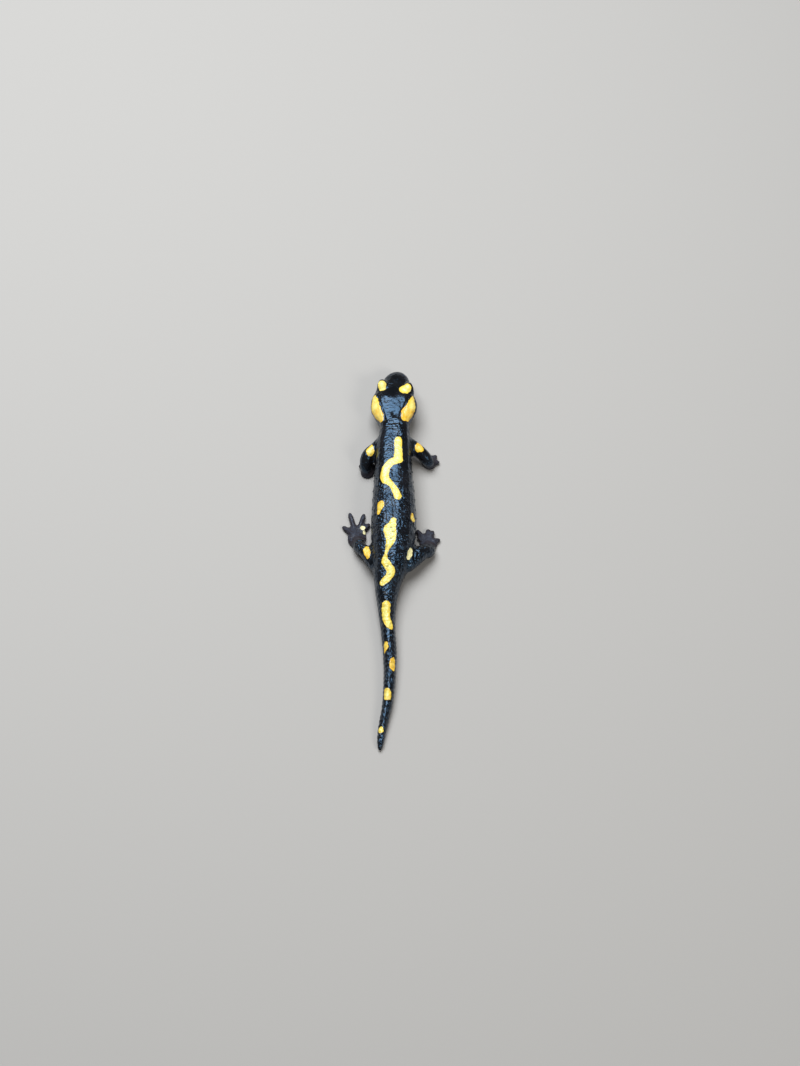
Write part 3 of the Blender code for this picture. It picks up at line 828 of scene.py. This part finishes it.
def painted_skin(tree, shader, relief):
    """Joins a skin material's shader to the grain and the colours; returns the colours' node."""
    place = add(tree, "ShaderNodeTexCoord").outputs["Object"]
    grain = add(tree, "ShaderNodeGroup", {"node_tree": skin_grain}, Place=place)
    mottle = grain.outputs["Mottle"]
    colours = add(
        tree, "ShaderNodeGroup", {"node_tree": skin_colours}, Place=place, Mottle=mottle,
        **{name.title(): attribute_of(tree, name) for name in ON_CORNERS},
    )
    bump = add(
        tree, "ShaderNodeBump", Height=grain.outputs["Height"], Distance=relief * MM,
        Strength=attribute_of(tree, "wrinkled"),
    )
    tree.links.new(bump.outputs[0], shader.inputs["Normal"])
    tree.links.new(colours.outputs["Colour"], shader.inputs["Base Color"])
    rough = ramp(tree, mottle, 0.0, 1.0, SMOOTHEST, ROUGHEST)
    rough = maths(tree, "MULTIPLY_ADD", colours.outputs["Marked"], MARKS_ROUGHER, rough)
    rough = maths(tree, "MULTIPLY_ADD", attribute_of(tree, "dull"), PAWS_ROUGHER, rough)
    tree.links.new(rough, shader.inputs["Roughness"])
    film = ramp(tree, mottle, 0.2, 0.9, FILM, 0.0)
    tree.links.new(film, shader.inputs["Coat Weight"])
    set_values(shader, SKIN_FINISH)
    return colours


keep_on_corners(flesh, "under", np.clip(-outward_of(flesh)[:, 2] * 1.2 - 0.2, 0, 1))
station = body_measures(places)[0]
wrinkled = 0.40 + 0.50 * between(station, -FAR, 30, 12) - 0.12 * between(station, 60, FAR, 9)
wrinkled += 0.10 * between(station, -FAR, -18, 14)
keep_on_corners(flesh, "wrinkled", wrinkled)
paws = np.isin(nearest_solids(places, FLESH), PAWS).astype(float)
keep_on_corners(flesh, "dull", blurred(paws, ends, PAW_BLUR))
skin_material, tree, shader = new_material("moist_skin")
painted_skin(tree, shader, SKIN_RELIEF)

skin = piece_of("skin", flesh)
flesh.materials.clear()
flesh.materials.append(skin_material)
flesh.shade_smooth()
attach(skin, "root")
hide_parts(*FLESH)

# ======== Gland pores
# Small raised pores of the poison glands, in the same skin: thick on the two glands of the
# head, in a row on each side of the spine, as warts along the flanks, and tiny ones over the
# back. Rings and warts turned from profiles are set along rows and stand square on the skin.
RING_PROFILE = (
    (0.0, -0.07), (0.07, -0.05), (0.12, 0.03), (0.22, 0.045), (0.36, 0.028), (0.52, 0.006),
    (0.70, -0.03),
)
WART_PROFILE = (
    (0.0, 0.15), (0.06, 0.17), (0.13, 0.215), (0.24, 0.21), (0.36, 0.15), (0.45, 0.06),
    (0.52, -0.05), (0.58, -0.18),
)
PORE_SIDES, PORE_RELIEF = 10, 0.03
PIT_RADIUS, PIT_COLOUR = 0.2, (0.012, 0.008, 0.006, 1)
OUTSIDE = 40  # clear of the skin, from the body's axis
SPINE_ROWS_OFF, SPINE_ROW_ENDS, SPINE_PORES = 1.75, (64.0, -72.0), 2.2
FLANK_LEANS, FLANK_ENDS, FLANK_PORES = (52, 78), (42.0, -3.5), 4.35
BACK_LEANS, BACK_ENDS, BACK_PORES = (14, 26, 38, 64), (56.0, -15.0), 2.4
GLAND_ROWS, GLAND_ENDS, GLAND_PORES = (44, 53, 62, 71, 80, 90), (73.6, 63.2), 1.25
PORE_SIZES = {  # smallest, largest, how much taller, and how far off the row
    "spine": (0.75, 1.15, 1.5, 0.22), "flank": (0.7, 1.0, 1.0, 0.4),
    "gland": (0.5, 0.85, 1.0, 0.22), "back": (0.25, 0.55, 0.9, 1.3),
}


def on_skin(station, lean):
    """The place of the skin at a station and lean, straight out from the body's axis."""
    low, high = (np.interp(station, girths[:, 0], girths[:, n]) for n in (3, 4))
    middle = np.interp(station, girths[:, 0], midline)
    axis = Vector((middle, station, low + AXIS_HEIGHT * (high - low)))
    way = Vector((math.sin(math.radians(lean)), 0, math.cos(math.radians(lean))))
    hit, *_ = skin_tree.ray_cast(axis + way * OUTSIDE, -way)
    return tuple(hit)


def pore_rows(rows):
    """The rows as lines of short edges, for the pores to follow."""
    places, edges = [], []
    for row in rows:
        edges += [(len(places) + n, len(places) + n + 1) for n in range(len(row) - 1)]
        places += row
    mesh = bpy.data.meshes.new("rows")
    mesh.from_pydata([tuple(c * MM for c in place) for place in places], edges, [])
    return mesh


def stations_between(ends):
    return np.arange(*ends, -STATION_STEP)


def bands(rows):
    """Faces between rows of corners that each go once round; a row of one corner is a tip."""
    faces = []
    for row in zip(rows, rows[1:]):
        count = max(len(corners) for corners in row)
        for n in range(count):
            (a, d), (b, c) = ([r[m % len(r)] for m in (n, (n + 1) % count)] for r in row)
            faces.append(tuple(dict.fromkeys((a, b, c, d))))
    return faces


def make_pore(profile):
    """One pore: a ring or a wart with a dark pit, turned from its profile."""
    places, rows, pits = [], [], []
    for out, up in profile:
        count = PORE_SIDES if out else 1
        turns = [2 * math.pi * n / PORE_SIDES for n in range(count)]
        rows.append(range(len(places), len(places) + count))
        places += [(out * math.cos(t), out * math.sin(t), up) for t in turns]
        pits += [max(0.0, 1 - out / PIT_RADIUS)] * count
    mesh = mesh_of("pore", places, bands(rows))
    keep_on_corners(mesh, "pit", pits)
    return mesh


def make_pore_tree():
    """Pores set on the skin along rows, each standing square on it and coloured like it."""
    ins = {
        "Rows": "Geometry", "Skin": "Object", "Pore": "Object", "Finish": "Material",
        "Seed": "Int", "Spacing": "Float", "Scatter": "Float", "Smallest": "Float",
        "Largest": "Float", "Rise": "Float",
    }
    outs = {"Pores": "Geometry"}
    tree, start, end = new_tree("pores along rows", "GeometryNodeTree", ins, outs)
    rows, skin_in, pore_in, finish, seed, spacing, scatter, *sizing = start.outputs[:len(ins)]
    smallest, largest, rise = sizing
    curves = add(tree, "GeometryNodeMeshToCurve", Mesh=rows).outputs[0]
    evenly = add(
        tree, "GeometryNodeResampleCurve", {"mode": "LENGTH"}, Curve=curves, Length=spacing,
    ).outputs[0]
    points = add(tree, "GeometryNodeCurveToPoints", {"mode": "EVALUATED"}, Curve=evenly)
    random = add(
        tree, "FunctionNodeRandomValue", {"data_type": "FLOAT_VECTOR"},
        n0=(-1, -1, -1), n1=(1, 1, 1), Seed=seed,
    )
    shift = add(
        tree, "ShaderNodeVectorMath", {"operation": "SCALE"}, n0=random.outputs[0], Scale=scatter,
    )
    put = "GeometryNodeSetPosition"
    moved = add(tree, put, Geometry=points.outputs[0], Offset=shift.outputs[0])
    sheet = add(tree, "GeometryNodeObjectInfo", Object=skin_in).outputs["Geometry"]
    nearest = add(tree, "GeometryNodeProximity", n0=sheet).outputs["Position"]
    on_it = add(tree, put, Geometry=moved.outputs[0], Position=nearest)

    def sampled(kind, value):
        node = add(tree, "GeometryNodeSampleNearestSurface", {"data_type": kind}, Mesh=sheet)
        tree.links.new(value, node.inputs["Value"])
        return node.outputs["Value"]

    outward = sampled("FLOAT_VECTOR", tree.nodes.new("GeometryNodeInputNormal").outputs[0])
    turned = add(tree, "FunctionNodeAlignRotationToVector", {"axis": "Z"}, Vector=outward)
    wide = add(
        tree, "FunctionNodeRandomValue", {"data_type": "FLOAT"},
        n2=smallest, n3=largest, Seed=seed,
    ).outputs[1]
    tall = maths(tree, "MULTIPLY", wide, rise)
    size = add(tree, "ShaderNodeCombineXYZ", X=wide, Y=wide, Z=tall)
    shape = add(tree, "GeometryNodeObjectInfo", Object=pore_in)
    placed = add(
        tree, "GeometryNodeInstanceOnPoints", Points=on_it.outputs[0],
        Instance=shape.outputs["Geometry"], Rotation=turned.outputs[0], Scale=size.outputs[0],
    )
    made = add(tree, "GeometryNodeRealizeInstances", Geometry=placed.outputs[0]).outputs[0]
    for name in ("yellow", "orange", "under", "wrinkled", "dull"):
        value = add(tree, "GeometryNodeInputNamedAttribute", {"data_type": "FLOAT"}, Name=name)
        made = add(
            tree, "GeometryNodeStoreNamedAttribute", {"data_type": "FLOAT", "domain": "POINT"},
            Geometry=made, Name=name, Value=sampled("FLOAT", value.outputs[0]),
        ).outputs[0]
    finished = add(tree, "GeometryNodeSetMaterial", Geometry=made, Material=finish)
    tree.links.new(finished.outputs[0], end.inputs["Pores"])
    return tree


def set_inputs(modifier, values):
    """Sets a modifier's inputs by the names of its tree's sockets."""
    for item in modifier.node_group.interface.items_tree:
        if item.name in values:
            modifier[item.identifier] = values[item.name]


pore_material, tree, shader = new_material("pored_skin")
plain = painted_skin(tree, shader, PORE_RELIEF).outputs["Colour"]
pitted = mix(tree, attribute_of(tree, "pit"), plain, PIT_COLOUR)
tree.links.new(pitted, shader.inputs["Base Color"])

pore = piece_of("pore", make_pore(RING_PROFILE))
wart = piece_of("wart", make_pore(WART_PROFILE))
pore_tree = make_pore_tree()


def beside_spine(side):
    """A row along the back, that far right of the midline."""
    stations = stations_between(SPINE_ROW_ENDS)
    rights = np.interp(stations, girths[:, 0], midline) + side
    return [tuple(laid_on(skin_tree, x, y)) for x, y in zip(rights, stations)]


def rows_round(leans, ends):
    """Rows along the body at those leans, on both sides."""
    both = [side * lean for lean in leans for side in (-1, 1)]
    return [[on_skin(station, lean) for station in stations_between(ends)] for lean in both]


spine_rows = [beside_spine(side) for side in (-SPINE_ROWS_OFF, SPINE_ROWS_OFF)]
pore_sets = []
for seed, kind, rows, spacing, shape in (
    (5, "spine", spine_rows, SPINE_PORES, pore),
    (6, "flank", rows_round(FLANK_LEANS, FLANK_ENDS), FLANK_PORES, wart),
    (7, "gland", rows_round(GLAND_ROWS, GLAND_ENDS), GLAND_PORES, pore),
    (8, "back", rows_round(BACK_LEANS, BACK_ENDS), BACK_PORES, wart),
):
    piece = piece_of(f"{kind}_pores", pore_rows(rows))
    modifier = piece.modifiers.new("pores", "NODES")
    modifier.node_group = pore_tree
    smallest, largest, rise, scatter = PORE_SIZES[kind]
    set_inputs(modifier, {
        "Skin": skin, "Pore": shape, "Spacing": spacing * MM, "Scatter": scatter * MM,
        "Smallest": smallest, "Largest": largest, "Rise": rise, "Seed": seed,
        "Finish": pore_material,
    })
    pore_sets.append(piece)
for piece in pore_sets:
    mesh = evaluated(piece)
    piece.modifiers.clear()
    piece.data = mesh
    mesh.shade_smooth()
    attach(piece, "root")
bpy.data.objects.remove(pore)
bpy.data.objects.remove(wart)

# ======== Eyes
# Round dark wet eyes that bulge a little in front: black pupil, deep brown iris with a few
# coppery flecks, and a black edge that meets the lids. Each ball is made of rings round its own
# line of sight, and sits loose in its socket.
FRONT_HEIGHT, FRONT_SPREAD = 0.10, 0.52  # spreads are in radians from the middle of the front
PUPIL, IRIS_EDGE, FLECK = 0.30, 0.80, 0.22
PUPIL_BLACK, EDGE_BLACK = (0.001, 0.001, 0.001, 1), (0.004, 0.0035, 0.003, 1)
IRIS_BROWN, COPPER = (0.013, 0.007, 0.004, 1), (0.16, 0.075, 0.02, 1)
EYE_FINISH = {
    "Roughness": 0.5, "Specular IOR Level": 0.0, "Coat Weight": 1.0, "Coat Roughness": 0.02,
    "Coat IOR": 1.36,
}
EYE_RINGS, EYE_SIDES = 36, 48


def make_eyeball(node, side):
    """A ball of rings round its own line of sight, which each corner's spread is kept from."""
    centre, along, upward, look = eye_axes(node, side)
    places, spreads, rows = [], [], []
    for ring in range(EYE_RINGS + 1):
        spread = math.pi * ring / EYE_RINGS
        count = EYE_SIDES if 0 < ring < EYE_RINGS else 1
        rows.append(range(len(places), len(places) + count))
        out = BALL_RADIUS + FRONT_HEIGHT * bell(spread / FRONT_SPREAD)
        for turn in (2 * math.pi * n / EYE_SIDES for n in range(count)):
            around = math.cos(turn) * along + math.sin(turn) * upward
            way = math.sin(spread) * around + math.cos(spread) * look
            places.append(centre + out * way)
            spreads.append(spread)
    mesh = mesh_of(node, places, bands(rows))
    shell = bmesh.new()
    shell.from_mesh(mesh)
    bmesh.ops.recalc_face_normals(shell, faces=shell.faces)
    shell.to_mesh(mesh)
    shell.free()
    keep_on_corners(mesh, "spread", spreads)
    mesh.shade_smooth()
    return mesh


eye_material, tree, shader = new_material("dark_eye")
spread = attribute_of(tree, "spread")
place = add(tree, "ShaderNodeTexCoord").outputs["Object"]
flecks = ramp(tree, cloudy(tree, place, FLECK, 3.0, Roughness=0.65), 0.5, 0.72)
coppery = maths(tree, "MULTIPLY", flecks, ramp(tree, spread, PUPIL, 0.62, 1.0, 0.25))
iris = mix(tree, coppery, IRIS_BROWN, COPPER)
ring = ramp(tree, spread, PUPIL - 0.02, PUPIL + 0.02)
front = mix(tree, ring, PUPIL_BLACK, iris)
edge = ramp(tree, spread, IRIS_EDGE - 0.12, IRIS_EDGE)
tree.links.new(mix(tree, edge, front, EDGE_BLACK), shader.inputs["Base Color"])
set_values(shader, EYE_FINISH)
for node, side in zip(EYES, (-1, 1)):
    ball = piece_of(node.replace("eye", "eyeball"), make_eyeball(node, side))
    ball.data.materials.append(eye_material)
    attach(ball, "root")
    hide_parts(node)

# ======== Floor, light and camera
# A plain pale floor under one broad soft light overhead and a weak fill, and a camera that
# looks down on the animal's back from behind.
FLOOR_SIDE, FLOOR_COLOUR, FLOOR_ROUGHNESS = 6.0, (0.43, 0.42, 0.405, 1), 0.85
ROOM_COLOUR, ROOM_LIGHT = (1.0, 0.98, 0.95, 1), 0.10
LIGHTS = {  # place, tilt, across, deep, power and colour
    "sky": ((-0.22, 0.40, 0.90), (-24, 0), 0.80, 0.74, 15.0, (0.95, 0.975, 1.0)),
    "fill": ((0.9, -0.8, 1.0), (36, 36), 0.5, 0.5, 7.0, (1.0, 0.97, 0.92)),
}
CAMERA_PLACE, CAMERA_TILT, CAMERA_LENS, FILM_HEIGHT = (0.00375, -0.7768, 1.425), 29.0, 131.7, 36.0

floor_mesh = bpy.data.meshes.new("floor")
half = FLOOR_SIDE / 2
floor_corners = [(-half, -half, 0), (half, -half, 0), (half, half, 0), (-half, half, 0)]
floor_mesh.from_pydata(floor_corners, [], [(0, 1, 2, 3)])
floor = piece_of("floor", floor_mesh)
floor_material, tree, shader = new_material("pale_floor")
set_values(shader, {"Base Color": FLOOR_COLOUR, "Roughness": FLOOR_ROUGHNESS})
floor_mesh.materials.append(floor_material)

world = bpy.data.worlds.new("studio")
bpy.context.scene.world = world
world.use_nodes = True
set_values(world.node_tree.nodes["Background"], {"Color": ROOM_COLOUR, "Strength": ROOM_LIGHT})


def soft_light(name, place, tilt, across, deep, power, colour):
    """An oblong soft light shining down, tilted about the two level axes in degrees."""
    light = bpy.data.lights.new(name, "AREA")
    light.shape, light.size, light.size_y = "RECTANGLE", across, deep
    light.energy, light.color = power, colour
    lamp = bpy.data.objects.new(name, light)
    lamp.location = place
    lamp.rotation_euler = (math.radians(tilt[0]), math.radians(tilt[1]), 0)
    bpy.context.scene.collection.objects.link(lamp)


for name, settings in LIGHTS.items():
    soft_light(name, *settings)

lens = bpy.data.cameras.new("camera")
lens.sensor_fit, lens.sensor_height, lens.lens = "VERTICAL", FILM_HEIGHT, CAMERA_LENS
camera = bpy.data.objects.new("camera", lens)
camera.location = CAMERA_PLACE
camera.rotation_euler = (math.radians(CAMERA_TILT), 0, 0)
bpy.context.scene.collection.objects.link(camera)
bpy.context.scene.camera = camera
bpy.context.scene.view_settings.view_transform = "Standard"
